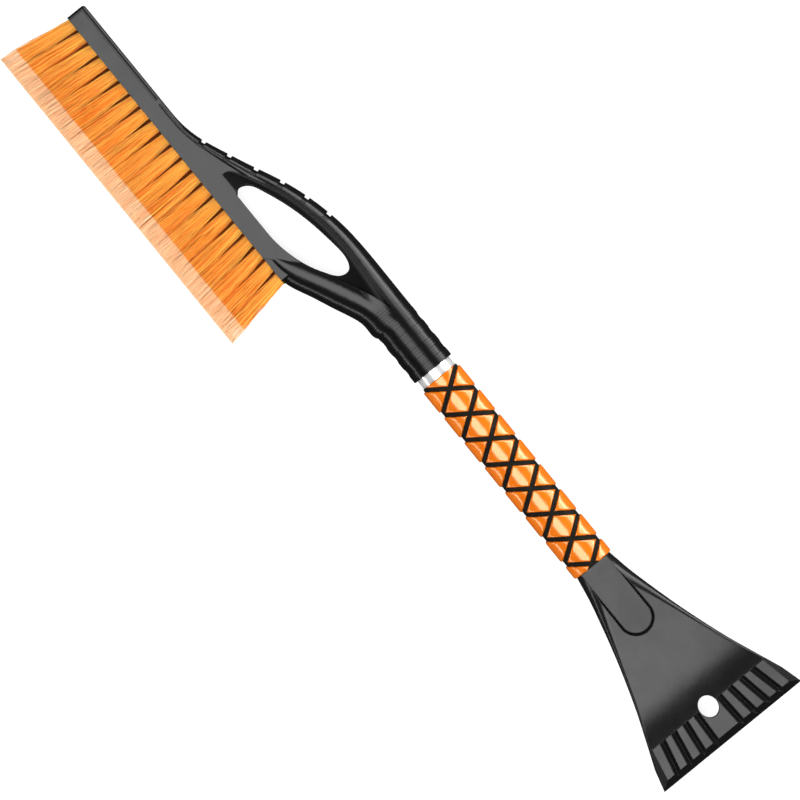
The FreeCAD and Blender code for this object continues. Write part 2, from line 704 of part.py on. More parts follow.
def blade_plate():
    """Thin end of the plate, bevelled to the scraping edge."""
    start = SCRAPER_SECTIONS[-1]
    thin = dim("blade_half_thickness")
    edge = dim("edge_half_thickness")
    tip = dim("overall_length")
    bevel = dim("ribs_end")
    back = -dim("blade_back")
    outline = [(start[0] - 1, thin), (bevel, thin), (tip, back + 2 * edge + 0.4), (tip, back + 0.4),
               (tip - 4, back), (start[0] - 1, back)]
    outline.append(outline[0])
    side = prism("blade_side", [line(a, b) for a, b in zip(outline, outline[1:])], -70, 70,
                 Rotation(Vector(1, 0, 0), 90))
    half = [(start[0] - 1, start[1] - 0.4), (dim("blade_corner"), 57.6), (tip, SCRAPER_HALF_WIDTH)]
    corners = half + [(x, -y) for x, y in half[::-1]]
    corners.append(corners[0])
    fan = prism("blade_fan", [line(a, b) for a, b in zip(corners, corners[1:])], -20, 20)
    plate = doc.addObject("Part::Common", "blade_plate")
    plate.Base = fan
    plate.Tool = side
    return plate


def rib_block():
    """Sloping block that the gaps divide into ribs."""
    start_x = dim("ribs_start")
    end_x = dim("ribs_end")
    base = 0.0
    half = [(start_x, RIBS_OUTSIDE[0]), (end_x, RIBS_OUTSIDE[1])]
    corners = half + [(x, -y) for x, y in half[::-1]]
    corners.append(corners[0])
    block = prism("rib_blank", [line(a, b) for a, b in zip(corners, corners[1:])], base, RIB_TOP)
    slope = math.degrees(math.atan2(RIB_TOP - RIB_TOP_END, end_x - start_x))
    cover = box("rib_cover", start_x - 0.1, -90, RIB_TOP, 60, 180, 10,
                Rotation(Vector(0, 1, 0), slope))
    return cut("rib_block", block, cover)


def rib_gap(name, start_y, end_y):
    """V-shaped gap between two ribs, running outwards to the scraping edge."""
    lead = 0.6
    start_x = dim("ribs_start") - lead
    end_x = dim("ribs_end") + 2.4
    length_x = dim("ribs_end") - dim("ribs_start")
    slant = (end_y - start_y) / length_x
    fall = (RIB_TOP - RIB_TOP_END) / length_x
    start = Vector(start_x, start_y - lead * slant, lead * fall)
    reach = end_x - dim("ribs_end")
    end = Vector(end_x, end_y + slant * reach, -fall * (length_x + reach))
    direction = (end - start)
    across = Vector(-direction.y, direction.x, 0).normalize()
    half = dim("rib_gap") / 2
    floor = RIB_GAP_FLOOR
    top = 6.0
    spread = half * (top - floor) / (RIB_TOP - floor)
    corners = [start + Vector(0, 0, floor), start + across * spread + Vector(0, 0, top),
               start - across * spread + Vector(0, 0, top)]
    corners.append(corners[0])
    face = Part.Face(Part.makePolygon(corners))
    piece = doc.addObject("Part::Feature", name)
    piece.Shape = face.extrude(direction)
    return piece


def side_bevel(name, side):
    """What is cut off the plate outside the ribs on one side, so that it falls to its edge."""
    start_x = dim("ribs_start") - 1
    end_x = dim("overall_length") + 1
    lean = (RIBS_OUTSIDE[1] - RIBS_OUTSIDE[0]) / (dim("ribs_end") - dim("ribs_start"))
    beside_rib = 0.05
    start_y = RIBS_OUTSIDE[0] + beside_rib - lean
    top = dim("blade_half_thickness")
    width = 12.0
    fall = width * math.tan(math.radians(dim("side_bevel")))
    profile = [(start_y, top), (start_y + width, top - fall), (start_y + width, top + 8),
               (start_y, top + 8), (start_y, top)]
    face = Part.Face(Part.makePolygon([Vector(start_x, side * y, z) for y, z in profile]))
    piece = doc.addObject("Part::Feature", name)
    piece.Shape = face.extrude(Vector(end_x - start_x, side * lean * (end_x - start_x), 0))
    return piece


def rest_outline(half_width, start):
    """U-shaped outline of the thumb rest, from x = start to its round end."""
    end = dim("tongue_end")
    tip = Vector(end + half_width, 0, 0)
    arc = Part.Arc(Vector(end, half_width, 0), tip, Vector(end, -half_width, 0)).toShape()
    return [line((start, half_width), (end, half_width)), arc,
            line((end, -half_width), (start, -half_width)),
            line((start, -half_width), (start, half_width))]


def rest_groove():
    """Groove round the thumb rest, its outer wall sloping at 45 degrees."""
    width = dim("tongue_groove")
    half_width = dim("tongue_half_width")
    above = 3.0
    wires = []
    for depth, name in ((-above, "top"), (width + 0.2, "floor")):
        wire = Part.Wire(rest_outline(half_width + width - depth, dim("grip_end") - 10))
        wire.translate(Vector(0, 0, -depth))
        piece = doc.addObject("Part::Feature", "rest_groove_" + name)
        piece.Shape = wire
        wires.append(piece)
    groove = doc.addObject("Part::Loft", "rest_groove")
    groove.Sections = wires
    groove.Solid = True
    groove.Ruled = True
    turn = Rotation(Vector(0, 1, 0), dim("tongue_plane_slope"))
    pivot = Vector(dim("tongue_plane_x"), 0, 0)
    lift = Vector(0, 0, dim("tongue_plane_z"))
    groove.Placement = Placement(pivot - turn.multVec(pivot) + lift, turn)
    return groove


def sloped_cover(name, start_z, end_z):
    """Block above a plane that falls with the neck, used to trim what stands on it."""
    start_x = 520.0
    end_x = 600.0
    slope = math.degrees(math.atan2(start_z - end_z, end_x - start_x))
    return box(name, start_x, -40, start_z, 140, 80, 30, Rotation(Vector(0, 1, 0), slope))


def scraper():
    spigot = rod("spigot", dim("spigot_start"), 0, 0, ALONG_X,
                 "Dims.tube_radius - Dims.tube_wall - 0.05", "531 - Dims.spigot_start")
    shell = fuse("scraper_body", scraper_shell(), blade_plate(), spigot)
    grooved = cut("scraper_grooved", shell, rest_groove())
    rest_edges = rest_outline(dim("tongue_half_width"), dim("grip_end"))
    rest = cut("rest", prism("rest_blank", rest_edges, 2, 30), sloped_cover("rest_cover", 15.8, 7.2))
    gaps = []
    for number, (start_y, end_y) in enumerate(RIB_GAPS, start=1):
        gaps.append(rib_gap("gap_upper_%d" % number, start_y, end_y))
        gaps.append(rib_gap("gap_lower_%d" % number, -start_y, -end_y))
    gaps.append(side_bevel("bevel_upper", 1))
    gaps.append(side_bevel("bevel_lower", -1))
    ribbed = cut("scraper_ribbed", fuse("scraper_raised", grooved, rest, rib_block()), *gaps)
    hole = doc.addObject("Part::Ellipse", "hang_hole_outline")
    bind(hole, MajorRadius="Dims.hang_hole_length / 2", MinorRadius="Dims.hang_hole_width / 2")
    hole.Placement = Placement(Vector(dim("hang_hole_x"), 0, -CLEAR), Rotation())
    hang_hole = doc.addObject("Part::Extrusion", "hang_hole")
    hang_hole.Base = hole
    hang_hole.DirMode = "Custom"
    hang_hole.Dir = Vector(0, 0, 1)
    hang_hole.LengthFwd = 2 * CLEAR
    hang_hole.Solid = True
    pin_hole = rod("scraper_pin_hole", dim("pin_x"), 0, -20, Rotation(),
                   "Dims.pin_radius + 0.02", "40")
    return cut("scraper", ribbed, hang_hole, pin_hole)


subpart(scraper(), "scraper_head")
subpart(rod("pin", dim("pin_x"), 0, -13.9, Rotation(), "Dims.pin_radius", "27.8"), "retaining_pin")

# --------------------------------------------------------------------------------------
# Snap lock: a button through tube and socket, on a bent leaf spring inside the tube
# --------------------------------------------------------------------------------------


def snap_button():
    """Round button with a flange inside the tube and a rounded end."""
    radius = dim("button_radius")
    top = dim("button_top")
    flange = dim("button_flange_radius")
    flange_top = dim("button_flange_top")
    base = flange_top - dim("button_flange_height")
    rounding = 1.2
    edges = [
        line((0, base), (flange, base)),
        line((flange, base), (flange, flange_top)),
        line((flange, flange_top), (radius, flange_top)),
        line((radius, flange_top), (radius, top - rounding)),
        Part.Arc(Vector(radius, top - rounding, 0),
                 Vector(radius - rounding * 0.293, top - rounding * 0.293, 0),
                 Vector(radius - rounding, top, 0)).toShape(),
        line((radius - rounding, top), (0, top)),
        line((0, top), (0, base)),
    ]
    profile = doc.addObject("Part::Feature", "button_profile")
    profile.Shape = Part.Face(Part.Wire(edges))
    turned = doc.addObject("Part::Revolution", "button_turned")
    turned.Source = profile
    turned.Axis = Vector(0, 1, 0)
    turned.Angle = 360
    turned.Solid = True
    turned.Placement = Placement(Vector(dim("button_x"), 0, 0), Rotation(Vector(1, 0, 0), -90))
    return turned


def snap_spring():
    """V of spring strip: one leg under the button's flange, the other on the far wall."""
    thick = dim("spring_thickness")
    low = thick + 0.03 - (dim("button_flange_top") - dim("button_flange_height"))
    bend_x = dim("button_x") + 17
    free_x = dim("button_x") - 6
    bend_z = (low + 11.6) / 2
    lower = [(free_x, low), (dim("button_x") + 5, low), (bend_x, bend_z - 1.6)]
    upper = [(bend_x, bend_z + 1.6), (dim("button_x") - 2, 11.4), (free_x, 10.6)]
    bend = Part.Arc(Vector(lower[-1][0], lower[-1][1], 0), Vector(bend_x + 1.6, bend_z, 0),
                    Vector(upper[0][0], upper[0][1], 0)).toShape()
    path = Part.Wire([line(lower[0], lower[1]), line(lower[1], lower[2]), bend,
                      line(upper[0], upper[1]), line(upper[1], upper[2])])
    strip = path.makeOffset2D(thick, fill=True, openResult=True)
    width = dim("spring_width")
    strip.translate(Vector(0, 0, -width / 2))
    piece = doc.addObject("Part::Feature", "spring")
    piece.Shape = strip.extrude(Vector(0, 0, width))
    piece.Placement = Placement(Vector(), Rotation(Vector(1, 0, 0), 90))
    return piece


subpart(snap_button(), "snap_button")
subpart(snap_spring(), "snap_spring")

# --------------------------------------------------------------------------------------
# Checks and output
# --------------------------------------------------------------------------------------

doc.recompute()
for piece in doc.Objects:
    if "Invalid" in piece.State or "Error" in piece.State:
        raise RuntimeError("%s failed: %s" % (piece.Label, piece.State))

os.makedirs("parts", exist_ok=True)
for piece in SUBPARTS:
    if piece.Shape.isNull() or not piece.Shape.isValid():
        raise RuntimeError("%s has no valid shape" % piece.Label)
    piece.Shape.exportStep("parts/%s.step" % piece.Label)
    bounds = piece.Shape.BoundBox
    print("%-20s solids %2d volume %9.1f x %7.1f %7.1f y %7.1f %7.1f z %6.1f %6.1f" % (
        piece.Label, len(piece.Shape.Solids), piece.Shape.Volume, bounds.XMin, bounds.XMax,
        bounds.YMin, bounds.YMax, bounds.ZMin, bounds.ZMax))
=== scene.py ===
"""Looks of the snow brush with ice scraper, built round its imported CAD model.

Lengths on the tool are in millimetres along its own axes: x from the free end of the brush head
to the scraping edge, y across it with the bristles towards -y, z up from the tube's axis.
place() turns them into the frame's metres.
"""

import json
import math

import bpy
import numpy as np
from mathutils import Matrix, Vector

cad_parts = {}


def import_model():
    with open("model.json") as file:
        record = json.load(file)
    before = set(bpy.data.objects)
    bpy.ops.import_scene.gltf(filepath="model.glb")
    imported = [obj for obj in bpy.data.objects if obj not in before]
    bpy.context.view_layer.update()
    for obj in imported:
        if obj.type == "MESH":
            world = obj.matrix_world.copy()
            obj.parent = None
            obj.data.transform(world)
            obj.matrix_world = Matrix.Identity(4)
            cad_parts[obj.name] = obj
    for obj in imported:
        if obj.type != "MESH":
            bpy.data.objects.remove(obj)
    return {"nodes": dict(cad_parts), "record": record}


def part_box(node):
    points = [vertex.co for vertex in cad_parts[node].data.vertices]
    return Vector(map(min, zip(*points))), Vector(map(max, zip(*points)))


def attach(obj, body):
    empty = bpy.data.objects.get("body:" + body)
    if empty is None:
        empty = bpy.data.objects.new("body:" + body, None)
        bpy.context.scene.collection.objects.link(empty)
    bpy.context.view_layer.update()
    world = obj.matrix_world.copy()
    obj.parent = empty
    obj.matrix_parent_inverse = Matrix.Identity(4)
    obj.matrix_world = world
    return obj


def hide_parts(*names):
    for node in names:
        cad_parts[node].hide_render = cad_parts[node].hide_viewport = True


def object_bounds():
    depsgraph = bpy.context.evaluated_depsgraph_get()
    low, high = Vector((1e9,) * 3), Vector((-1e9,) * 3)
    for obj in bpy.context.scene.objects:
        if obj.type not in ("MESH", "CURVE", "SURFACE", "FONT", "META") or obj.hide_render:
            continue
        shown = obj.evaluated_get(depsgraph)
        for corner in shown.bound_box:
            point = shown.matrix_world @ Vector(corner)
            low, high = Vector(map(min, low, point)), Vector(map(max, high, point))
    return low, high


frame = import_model()
cad_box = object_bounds()

MM = 0.001
rng = np.random.default_rng(27)

tube_low, tube_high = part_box("handle_tube")
head_low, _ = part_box("brush_head_frame")
sleeve_low, sleeve_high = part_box("grip_sleeve")
pads_low, pads_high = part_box("grip_pads")
AXIS = (tube_low + tube_high) / 2
ORIGIN = Vector((head_low.x, AXIS.y, AXIS.z))


def place(x, y, z):
    """Point of the frame, in metres, from millimetres on the tool."""
    return ORIGIN + Vector((x, y, z)) * MM


# --------------------------------------------------------------------------------------
# Materials
# --------------------------------------------------------------------------------------


# Noise strays little beyond these values.
NOISE_LOW = 0.3
NOISE_HIGH = 0.7


def colour_sockets(sockets):
    """The colour inputs or outputs of a mix node, which has others of the same name."""
    return [socket for socket in sockets if socket.type == "RGBA"]


class Shader:
    """A node material under construction, with its Principled shader and object coordinates."""

    def __init__(self, name, colour, roughness, metallic=0.0, specular=0.5):
        self.material = bpy.data.materials.new(name)
        self.material.use_nodes = True
        self.nodes = self.material.node_tree.nodes
        self.links = self.material.node_tree.links
        self.surface = self.nodes["Principled BSDF"]
        self.surface.inputs["Base Color"].default_value = (*colour, 1)
        self.surface.inputs["Roughness"].default_value = roughness
        self.surface.inputs["Metallic"].default_value = metallic
        self.surface.inputs["Specular IOR Level"].default_value = specular
        self.position = self.nodes.new("ShaderNodeTexCoord").outputs["Object"]

    def link(self, source, node, name):
        self.links.new(source, node.inputs[name])

    def noise(self, scale, detail=3.0, stretch=None):
        """Noise with that many features in a metre, stretched along an axis if asked."""
        position = self.position
        if stretch:
            mapping = self.nodes.new("ShaderNodeMapping")
            mapping.inputs["Scale"].default_value = stretch
            self.link(position, mapping, "Vector")
            position = mapping.outputs["Vector"]
        texture = self.nodes.new("ShaderNodeTexNoise")
        texture.inputs["Scale"].default_value = scale
        texture.inputs["Detail"].default_value = detail
        self.link(position, texture, "Vector")
        return texture.outputs["Fac"]

    def calculate(self, operation, *values):
        """Result of one arithmetic operation on outputs of other nodes."""
        node = self.nodes.new("ShaderNodeMath")
        node.operation = operation
        for value, socket in zip(values, node.inputs):
            self.links.new(value, socket)
        return node.outputs["Value"]

    def ramp(self, value, low, high, start=0.0, end=1.0, clamp=True):
        """Maps value from start..end to low..high, held beyond them unless clamp is off."""
        node = self.nodes.new("ShaderNodeMapRange")
        node.clamp = clamp
        node.inputs["From Min"].default_value = start
        node.inputs["From Max"].default_value = end
        node.inputs["To Min"].default_value = low
        node.inputs["To Max"].default_value = high
        self.link(value, node, "Value")
        return node.outputs["Result"]

    def mix(self, factor, first, second):
        """Colour between two colours or colour outputs."""
        node = self.nodes.new("ShaderNodeMix")
        node.data_type = "RGBA"
        self.link(factor, node, "Factor")
        for socket, colour in zip(colour_sockets(node.inputs), (first, second)):
            if isinstance(colour, tuple):
                socket.default_value = (*colour, 1)
            else:
                self.links.new(colour, socket)
        return colour_sockets(node.outputs)[0]

    def along(self, axis):
        """Coordinate along one of the frame's axes, in metres."""
        node = self.nodes.new("ShaderNodeSeparateXYZ")
        self.link(self.position, node, "Vector")
        return node.outputs[axis]

    def vary_roughness(self, scale, low, high):
        """Lets the roughness wander between two values."""
        rough = self.ramp(self.noise(scale), low, high, start=NOISE_LOW, end=NOISE_HIGH)
        self.link(rough, self.surface, "Roughness")

    def bump(self, height, depth, normal=None):
        """Bump of that depth in metres; normal is an earlier bump or bevel."""
        node = self.nodes.new("ShaderNodeBump")
        node.inputs["Distance"].default_value = depth
        self.link(height, node, "Height")
        if normal:
            self.link(normal, node, "Normal")
        return node.outputs["Normal"]

    def rounded_edges(self, radius):
        """Normal that makes sharp edges look rounded."""
        node = self.nodes.new("ShaderNodeBevel")
        node.samples = 4
        node.inputs["Radius"].default_value = radius
        return node.outputs["Normal"]

    def finish(self, normal):
        """Gives the surface its last normal and hands over the material."""
        self.link(normal, self.surface, "Normal")
        return self.material


# Fine rings round the socket. RING_GLOSS is the share of the gloss that is left on them.
RINGS_FROM = place(291, 0, 0).x
RINGS_FADE = 8 * MM
RING_PITCH = 2.1 * MM
RING_HEIGHT = 0.08 * MM
RING_GLOSS = 0.62


def socket_rings(shader):
    """Height of the fine rings round the socket, from 0 to 1, fading out towards the rails."""
    along = shader.along("X")
    angle = shader.ramp(along, low=0.0, high=math.tau, start=RINGS_FROM,
                        end=RINGS_FROM + RING_PITCH, clamp=False)
    wave = shader.calculate("SINE", angle)
    ridge = shader.ramp(wave, low=0.0, high=1.0, start=0.2, end=0.9)
    strength = shader.ramp(along, low=0.0, high=1.0, start=RINGS_FROM, end=RINGS_FROM + RINGS_FADE)
    return shader.calculate("MULTIPLY", ridge, strength)


def moulded_plastic(name, colour, rough_low, rough_high, specular, ringed=False):
    """Moulded plastic: fine grain, uneven gloss, slightly rounded edges."""
    shader = Shader(name, colour, rough_low, specular=specular)
    shader.vary_roughness(scale=60, low=rough_low, high=rough_high)
    surface = shader.rounded_edges(radius=0.7 * MM)
    if ringed:
        rings = socket_rings(shader)
        surface = shader.bump(rings, RING_HEIGHT, surface)
        gloss = shader.ramp(rings, low=specular, high=specular * RING_GLOSS)
        shader.link(gloss, shader.surface, "Specular IOR Level")
    waves = shader.bump(shader.noise(scale=45), depth=0.015 * MM, normal=surface)
    grain = shader.bump(shader.noise(scale=2600, detail=2), depth=0.008 * MM, normal=waves)
    return shader.finish(grain)


def aluminium():
    """Polished tube with faint lines left along it by drawing."""
    shader = Shader("polished_aluminium", (0.90, 0.905, 0.91), roughness=0.2, metallic=0.6)
    shader.vary_roughness(scale=90, low=0.17, high=0.24)
    lines = shader.noise(scale=700, detail=2, stretch=(0.03, 1, 1))
    return shader.finish(shader.bump(lines, depth=0.006 * MM))


FOAM_IOR = 1.6
FOAM_GLINT = (1.0, 0.86, 0.56)


def foam(name, colour, other, rough_low, rough_high, specular):
    """Closed-cell foam: a skin with small pores and shades of its colour."""
    shader = Shader(name, colour, rough_low, specular=specular)
    shader.vary_roughness(scale=150, low=rough_low, high=rough_high)
    blotches = shader.ramp(shader.noise(scale=120, detail=4), low=0.0, high=1.0, start=0.35,
                           end=0.7)
    shader.link(shader.mix(blotches, colour, other), shader.surface, "Base Color")
    shader.surface.inputs["IOR"].default_value = FOAM_IOR
    shader.surface.inputs["Specular Tint"].default_value = (*FOAM_GLINT, 1)
    pores = shader.bump(shader.noise(scale=1500, detail=3), depth=0.012 * MM)
    dents = shader.bump(shader.noise(scale=160), depth=0.03 * MM, normal=pores)
    return shader.finish(dents)


# Colours of the bristles, each from a filament of shade 0 to one of shade 1. Shades below 0 are
# painted shade on the filaments' inner sides near the root, and go over to the deep colour.
BRISTLE_MEAN = (0.93, 0.33, 0.03)
BRISTLE_LIT = ((0.93, 0.21, 0.006), (1.0, 0.55, 0.08))
BRISTLE_PALE = ((1.0, 0.54, 0.26), (1.0, 0.74, 0.46))
BRISTLE_PAINTED_SHADE = (0.46, 0.095, 0.002)
BAND_Y = place(0, -85.3, 0).y
BAND_WANDER = 0.3 * MM
BAND_BLUR = 0.5 * MM


def bristle():
    """Orange nylon with a pale trimmed band; every filament has a shade of its own, with painted
    light near the root and painted shade near the root on the side that faces the other row.
    """
    shader = Shader("orange_bristle", BRISTLE_MEAN, roughness=0.42, specular=0.45)
    attribute = shader.nodes.new("ShaderNodeAttribute")
    attribute.attribute_name = "shade"
    shade = attribute.outputs["Fac"]
    # Painted shade: shades below 0 darken the colour towards the deep colour.
    painted_shade_share = shader.ramp(shade, low=1.0, high=0.0, start=-1.0, end=0.0)
    body = shader.mix(painted_shade_share, shader.mix(shade, *BRISTLE_LIT), BRISTLE_PAINTED_SHADE)
    wander = shader.ramp(shader.noise(scale=90), low=-BAND_WANDER, high=BAND_WANDER,
                         start=NOISE_LOW, end=NOISE_HIGH)
    height = shader.calculate("ADD", shader.along("Y"), wander)
    in_band = shader.ramp(height, low=1.0, high=0.0, start=BAND_Y - BAND_BLUR,
                          end=BAND_Y + BAND_BLUR)
    colour = shader.mix(in_band, body, shader.mix(shade, *BRISTLE_PALE))
    shader.link(colour, shader.surface, "Base Color")
    return shader.finish(shader.bump(shader.noise(scale=900, detail=2), depth=0.02 * MM))


# Roughness of steel where it is glossiest and dullest, as shares of its mean.
STEEL_GLOSSY = 0.8
STEEL_DULL = 1.3


def steel(name, colour, roughness):
    """Bare steel with faint lines along it."""
    shader = Shader(name, colour, roughness, metallic=1.0)
    shader.vary_roughness(scale=300, low=roughness * STEEL_GLOSSY, high=roughness * STEEL_DULL)
    lines = shader.noise(scale=2200, detail=2, stretch=(0.1, 1, 1))
    return shader.finish(shader.bump(lines, depth=0.01 * MM))


MATERIALS = {
    "black_plastic": moulded_plastic(
        "black_plastic", (0.004, 0.004, 0.0042),
        rough_low=0.20, rough_high=0.26, specular=0.26, ringed=True),
    "scraper_plastic": moulded_plastic(
        "scraper_plastic", (0.005, 0.005, 0.0052),
        rough_low=0.24, rough_high=0.30, specular=0.31),
    "button_plastic": moulded_plastic(
        "button_plastic", (0.02, 0.02, 0.021),
        rough_low=0.3, rough_high=0.4, specular=0.45),
    "polished_aluminium": aluminium(),
    "black_foam": foam(
        "black_foam", (0.004, 0.004, 0.004), (0.008, 0.008, 0.008),
        rough_low=0.6, rough_high=0.8, specular=0.08),
    "orange_foam": foam(
        "orange_foam", (0.62, 0.125, 0.002), (0.68, 0.155, 0.004),
        rough_low=0.17, rough_high=0.22, specular=0.95),
    "orange_bristle": bristle(),
    "steel_pin": steel("steel_pin", (0.62, 0.62, 0.63), roughness=0.3),
    "spring_steel": steel("spring_steel", (0.45, 0.46, 0.48), roughness=0.35),
    "anchor_wire": steel("anchor_wire", (0.6, 0.6, 0.6), roughness=0.4),
}


def paint(piece, slot_name):
    """Gives a piece the material of one of the record's slots."""
    piece.data.materials.clear()
    piece.data.materials.append(MATERIALS[slot_name])


SLOT_OF = {row["node"]: row["material_slot"] for row in frame["record"]["subparts"]}
for node_name, node in frame["nodes"].items():
    paint(node, SLOT_OF[node_name])


def new_piece(name, vertices, faces, body, slot_name, *stands_for):
    """Mesh that rides on a body, takes a slot's finish and stands for CAD nodes."""
    mesh = bpy.data.meshes.new(name)
    mesh.from_pydata([tuple(v) for v in vertices], [], [tuple(f) for f in faces])
    mesh.update()
    piece = bpy.data.objects.new(name, mesh)
    bpy.context.scene.collection.objects.link(piece)
    mesh.shade_smooth()
    paint(piece, slot_name)
    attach(piece, body)
    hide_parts(*stands_for)
    return piece


# --------------------------------------------------------------------------------------
# Bristles
# --------------------------------------------------------------------------------------

# Filaments of a tuft, and the rings of corners along each of them.
FILAMENTS = 150
RINGS = 12
SIDES = 3
FILAMENT_RADIUS = 0.27 * MM
TIP_RADIUS = 0.2 * MM
GOLDEN_ANGLE = math.pi * (3 - math.sqrt(5))

# How a tuft fans out, as shares of the sizes of its CAD solid's ends. A power below 1 lets the
# filaments spread sooner; the end tufts of the front row spread evenly.
ROOT_SPREAD = 1.4
TIP_SPREAD = 1.22
TIP_DEPTH = 0.9
TIP_SCATTER = 0.09
SPREAD_POWER = 0.88
END_SPREAD_POWER = 1.0
END_TUFTS = ("tuft_front_01", "tuft_front_21")

# Vertices this close to a tuft's end outline it. The filaments leave the bar at BRISTLE_FACE_Y.
END_REACH = 0.02 * MM
BRISTLE_FACE_Y = place(0, -43.5, 0).y

# The trimmed ends differ by about TRIM_SCATTER millimetres. The crimp reaches its full swing at
# 1 / CRIMP_RISE of the filament's length.
TRIM_SCATTER = 0.25
CRIMP = 0.32 * MM
CRIMP_WAVES = (1.6, 2.6)
CRIMP_RISE = 5

# Filaments stay this far inside the CAD model's box.
MARGIN = 0.35 * MM
BOX_LOW, BOX_HIGH = (np.array(corner) for corner in cad_box)

# Shades: one for each filament, with painted light that makes it paler near the root, and painted
# shade that makes it darker near the root on the side that faces the other row.
SHADE_MEAN = 0.42
SHADE_SCATTER = 0.36
# Painted light: how much paler each filament is made at its root, and how fast that fades along
# it.
ROOT_PAINTED_LIGHT = 0.45
ROOT_PAINTED_LIGHT_FADE = 4
INNER_PAINTED_SHADE = 2.4
INNER_PAINTED_SHADE_FADE = 1.5
INNER_PAINTED_SHADE_REACH = 0.15


def tuft_ends(node_name):
    """Centre and half sizes of a tuft's two ends, the one at the bar first."""
    co = np.array([v.co for v in frame["nodes"][node_name].data.vertices])
    ends = []
    for edge_y in (co[:, 1].max(), co[:, 1].min()):
        ring = co[np.abs(co[:, 1] - edge_y) < END_REACH]
        low, high = ring.min(0), ring.max(0)
        ends.append(((low + high) / 2, (high - low) / 2))
    return ends


def filament_path(disk, ends, power):
    """Middle line of the filament at one point of the unit disk, from its hole to its tip."""
    (root, root_half), (tip, tip_half) = ends
    along = np.linspace(0, 1, RINGS - 1)
    start = root + np.array([disk[0] * root_half[0], 0, disk[1] * root_half[2]])
    mouth = root + (start - root) * ROOT_SPREAD
    aim = disk * TIP_SPREAD + rng.normal(0, TIP_SCATTER, 2)
    end = tip + np.array([aim[0] * tip_half[0], 0, aim[1] * tip_half[2] * TIP_DEPTH])
    end[1] += abs(rng.normal(0, TRIM_SCATTER)) * MM
    spread = along ** power
    path = np.zeros((RINGS, 3))
    path[0] = start
    path[1:, 0] = mouth[0] + (end[0] - mouth[0]) * spread
    path[1:, 2] = mouth[2] + (end[2] - mouth[2]) * spread
    path[1:, 1] = BRISTLE_FACE_Y + (end[1] - BRISTLE_FACE_Y) * along
    waves = rng.uniform(*CRIMP_WAVES)
    phase = rng.uniform(0, math.tau)
    lean = rng.uniform(0, math.tau)
    rise = np.minimum(along * CRIMP_RISE, 1)
    swing = CRIMP * np.sin(math.tau * waves * along + phase) * rise
    path[1:, 0] += swing * math.cos(lean)
    path[1:, 2] += swing * math.sin(lean)
    return np.clip(path, BOX_LOW + MARGIN, BOX_HIGH - MARGIN)


def add_filament(vertices, faces, path):
    """Adds the closed skin of one filament round its middle line."""
    size = FILAMENT_RADIUS + (TIP_RADIUS - FILAMENT_RADIUS) * np.linspace(0, 1, RINGS)
    turn = rng.uniform(0, math.tau)
    base = len(vertices)
    for ring in range(RINGS):
        for side in range(SIDES):
            corner = turn + side * math.tau / SIDES
            offset = (math.cos(corner) * size[ring], 0, math.sin(corner) * size[ring])
            vertices.append(path[ring] + offset)
    for ring in range(RINGS - 1):
        for side in range(SIDES):
            a = base + ring * SIDES + side
            b = base + ring * SIDES + (side + 1) % SIDES
            faces.append((a, b, b + SIDES, a + SIDES))
    last = base + (RINGS - 1) * SIDES
    faces.append(tuple(range(last, last + SIDES)))
    faces.append(tuple(range(base + SIDES - 1, base - 1, -1)))


def filament_shades(disk, outward):
    """Shade of every corner of one filament, with painted light near the root and painted shade on
    the side facing the other row; outward is the sign of z away from the other row.
    """
    shade = min(max(rng.normal(SHADE_MEAN, SHADE_SCATTER), 0), 1)
    inner_side = max(0, -disk[1] * outward + INNER_PAINTED_SHADE_REACH)
    shades = []
    for ring in range(RINGS):
        near_root = 1 - ring / RINGS
        # Painted light: filaments paler near the root.
        pale = ROOT_PAINTED_LIGHT * near_root ** ROOT_PAINTED_LIGHT_FADE
        # Painted shade: darker near the root on the side that faces the other row.
        painted_shade = INNER_PAINTED_SHADE * inner_side * near_root ** INNER_PAINTED_SHADE_FADE
        shades.extend([min(max(shade + pale - painted_shade, -1), 1)] * SIDES)
    return shades


def grow_tuft(node_name):
    """Filaments that leave the hole in a tight bundle and fan out to the trimmed end."""
    ends = tuft_ends(node_name)
    outward = np.sign(ends[0][0][2] - AXIS.z)
    power = END_SPREAD_POWER if node_name in END_TUFTS else SPREAD_POWER
    vertices, faces, shades = [], [], []
    for number in range(FILAMENTS):
        radius = math.sqrt((number + 0.5) / FILAMENTS)
        angle = number * GOLDEN_ANGLE
        disk = np.array([radius * math.cos(angle), radius * math.sin(angle)])
        add_filament(vertices, faces, filament_path(disk, ends, power))
        shades.extend(filament_shades(disk, outward))
    piece = new_piece(node_name + "_bristles", vertices, faces, "brush_head", "orange_bristle",
                      node_name)
    # The shade attribute holds each filament's own tone with painted light and painted shade added
    # to it.
    layer = piece.data.attributes.new("shade", "FLOAT", "POINT")
    layer.data.foreach_set("value", shades)


for node_name in sorted(frame["nodes"]):
    if SLOT_OF[node_name] == "orange_bristle":
        grow_tuft(node_name)

# --------------------------------------------------------------------------------------
# Foam pads of the grip
# --------------------------------------------------------------------------------------

# Two crossing sets of grooves, in millimetres on the tool.
GROOVE_FIRST = 370.5
GROOVE_PITCH = 22.55
GROOVE_WIDTH = 3.2
GROOVE_SLOPE = 0.68
GROOVE_COUNT = 8

# The skin's grid, how far a pad's rounded edge reaches in, and the share of a pad's height that
# is a plain step. PAD_OVERLAP lets the skin reach a little over the groove's edge, SKIN_LIFT
# keeps it off the sleeve, and END_STEP gives the two ends of the grip a step.
PAD_COLUMNS = 400
PAD_ROWS = 246
PAD_EDGE = 1.5
PAD_STEP = 0.32
PAD_OVERLAP = 0.1
SKIN_LIFT = 0.03
END_STEP = 0.15


